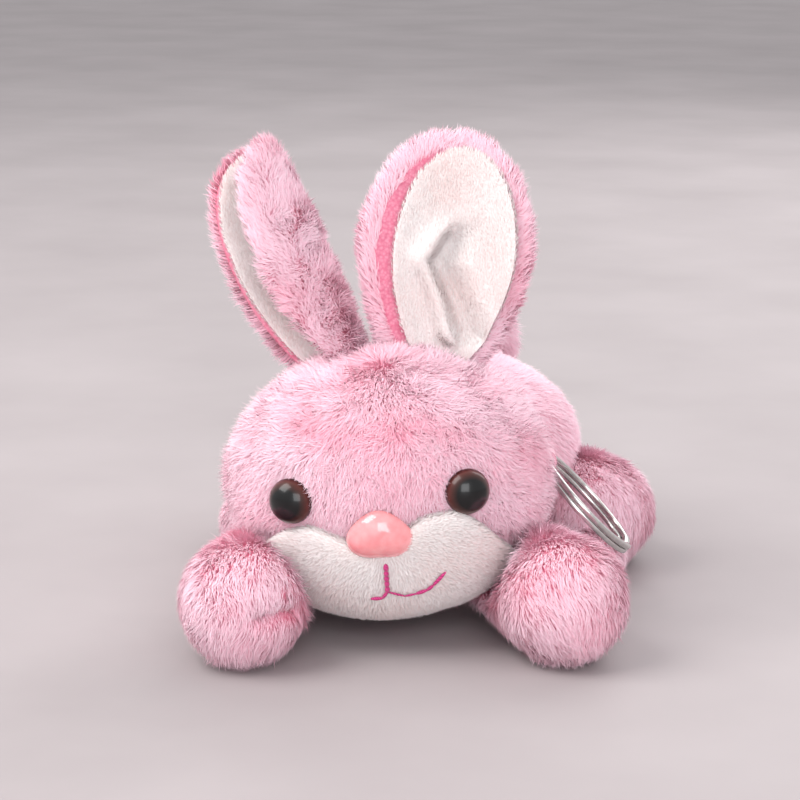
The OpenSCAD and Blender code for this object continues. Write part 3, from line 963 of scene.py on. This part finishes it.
# %% [markdown]
# The mouth is a row of thread stitches that follow the muzzle. Each stitch is a short fat spindle, and
# they overlap a little where the needle goes in again. They are one piece, worked out on the muzzle's
# own surface so that every stitch lies on the pile.


# %% Stitches
def muzzle_place(x, z):
    """The muzzle's front at x and z in the head's frame: the nearest point of its own grid."""
    points = local(head, skins["muzzle"][:, :55].reshape(-1, 3)) / mm
    nearest = np.argmin((points[:, 0] - x) ** 2 + (points[:, 2] - z) ** 2)
    return points[nearest]


def spindle(start, end, thick, rows=9, columns=10):
    """A stitch between two points: radius = thick sqrt(sin(pi t)) round the straight line."""
    t = np.linspace(0, 1, rows)[:, None]
    a = np.linspace(0, 2 * np.pi, columns, endpoint=False)[None]
    along_it = unit(end - start)
    side = unit(np.cross(along_it, [0, 1, 0]))
    up = np.cross(side, along_it)
    r = thick * np.sqrt(np.sin(np.pi * np.clip(t, 0, 1)).clip(0, 1))
    line = start + t[..., None] * (end - start)
    return line + (r * np.cos(a))[..., None] * side + (r * np.sin(a))[..., None] * up


def stitched(name, rows_of_stitches, material):
    """Many spindles joined into one object."""
    made = []
    for points, thick in rows_of_stitches:
        places = [muzzle_place(x, z) + np.array([0, -1.0, 0]) for x, z in points]
        for start, end in zip(places[:-1], places[1:]):
            over = 0.12 * (end - start)
            grid = placed(head, spindle(start - over, end + over, thick) * mm)
            made.append(closed("stitch", grid, material))
    with bpy.context.temp_override(active_object=made[0], selected_editable_objects=made):
        bpy.ops.object.join()
    made[0].name = name
    return made[0]


upright = [(0.3 + 0.25 * (i % 2), -9.9 - 1.12 * i) for i in range(6)]
left_lip = [(0.5, -15.5), (-1.0, -16.4), (-3.2, -16.8)]
right_lip = [(0.5, -15.5), (3.0, -16.3), (5.4, -16.1), (7.0, -15.5), (8.6, -14.4), (10.9, -12.0)]
lines_of_stitches = [(upright, 0.5), (left_lip, 0.34), (right_lip[:3], 0.22), (right_lip[2:], 0.36)]
mouth = stitched("mouth_stitches", lines_of_stitches, magenta_thread)
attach(mouth, "head")
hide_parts("mouth_stitching")

# %% [markdown]
# ## The split ring
# The ring is one flat wire wound twice and ground round at its edges. Along the wire the angle goes
# round twice, and the height steps from the lower turn to the upper one across the kink.


# %% Ring wire
ring_home = (np.array([39.4, -18.3, 20.2]) * mm, turned("z", front_turn + 1) @ turned("y", 46.8))


def ring_wire(rows=300, columns=20):
    """Centre (R cos a, R sin a, h(a)); section a rounded box |x/w|^4 + |z/t|^4 = 1, closed at the ends."""
    s = np.linspace(0, 1, rows)[:, None]
    turn = np.radians(14 + s * 692)
    c = np.linspace(0, 2 * np.pi, columns, endpoint=False)[None]
    power = 1 / (np.abs(np.cos(c)) ** 4 + np.abs(np.sin(c)) ** 4) ** 0.25
    close = np.clip(np.minimum(s, 1 - s) * 160, 0, 1) ** 0.5
    x = 11.8 + 0.68 * power * np.cos(c) * close
    step = smooth_step(np.degrees(turn), 346, 374)
    z = -0.57 + 1.14 * step + 0.53 * power * np.sin(c) * close
    return placed(ring_home, np.stack([x * np.cos(turn), x * np.sin(turn), z], axis=-1) * mm)


ring = closed("split_ring_wire", ring_wire(), spring_steel)
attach(ring, "split_ring")
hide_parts("split_ring")

# %% [markdown]
# ## Finishes on the solids that stay
# The ribbon, its sewn-in end and the snap washers keep their solids and take a finish.

# %% Finishes for the kept solids
kept_finishes = {"ribbon_loop": ribbon_finish, "loop_anchor": ribbon_finish, "loop_bar_tack": tack_finish,
                 "eye_washers": washer_plastic, "nose_washer": washer_plastic}
for name, material in kept_finishes.items():
    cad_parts[name].data.materials.clear()
    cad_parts[name].data.materials.append(material)
print("solids with a finish:", sorted(kept_finishes))

# %% [markdown]
# ## Floor, light and camera
# A pale floor, a large soft key from the upper left, a weaker fill and a bright room keep the pile
# light and its shadows soft. The camera stands a little above the rabbit, in front of its face.


# %% Floor and camera
def stage_floor():
    """A wide pale floor with a faint woven unevenness."""
    size = 3.0
    corners = np.array([[-size, -size, 0], [size, -size, 0], [size, size, 0], [-size, size, 0]])
    material, tree, shader = finish("pale_floor", Roughness=0.75)
    place = node(tree, "ShaderNodeTexCoord").outputs["Object"]
    cloud = node(tree, "ShaderNodeTexNoise", {"Scale": 14.0, "Detail": 4.0})
    tree.links.new(place, cloud.inputs["Vector"])
    shades = [(0.3, colour(162, 153, 154)), (0.7, colour(172, 163, 164))]
    tree.links.new(ramp(tree, cloud.outputs["Fac"], shades), shader.inputs["Base Color"])
    floor = to_mesh("floor", corners, np.arange(4), np.array([4]))
    floor.data.materials.append(material)


def aimed(thing, place, target):
    """Turns a lamp or a camera at place so that it looks at target."""
    from mathutils import Vector
    thing.location = place
    thing.rotation_euler = (Vector(target) - Vector(place)).to_track_quat("-Z", "Y").to_euler()
    bpy.context.scene.collection.objects.link(thing)


def area_light(name, place, target, size, power, tint):
    """A square soft lamp that the camera does not see."""
    lamp = bpy.data.lights.new(name, "AREA")
    lamp.size = size
    lamp.energy = power
    lamp.color = tint
    thing = bpy.data.objects.new(name, lamp)
    thing.visible_camera = False
    aimed(thing, place, target)


stage_floor()
middle = (0.01, -0.03, 0.03)
area_light("key", (-0.35, -0.35, 0.6), middle, 0.5, 4.6, (1.0, 0.985, 0.97))
area_light("fill", (0.35, -0.6, 0.26), middle, 0.4, 2.3, (0.97, 0.98, 1.0))
area_light("back", (0.1, 0.6, 0.5), middle, 0.6, 3.0, (1.0, 1.0, 1.0))
world = bpy.data.worlds.new("room")
world.use_nodes = True
world.node_tree.nodes["Background"].inputs["Color"].default_value = (0.93, 0.94, 0.96, 1)
world.node_tree.nodes["Background"].inputs["Strength"].default_value = 0.86
bpy.context.scene.world = world
bpy.context.scene.view_settings.view_transform = "Standard"

camera_data = bpy.data.cameras.new("camera")
camera_data.sensor_width = 36
camera_data.lens = 113.6
camera_data.clip_start = 0.01
camera = bpy.data.objects.new("camera", camera_data)
aimed(camera, (0.19875, -0.46431, 0.14944), (0.02002, -0.06286, 0.04799))
bpy.context.scene.camera = camera
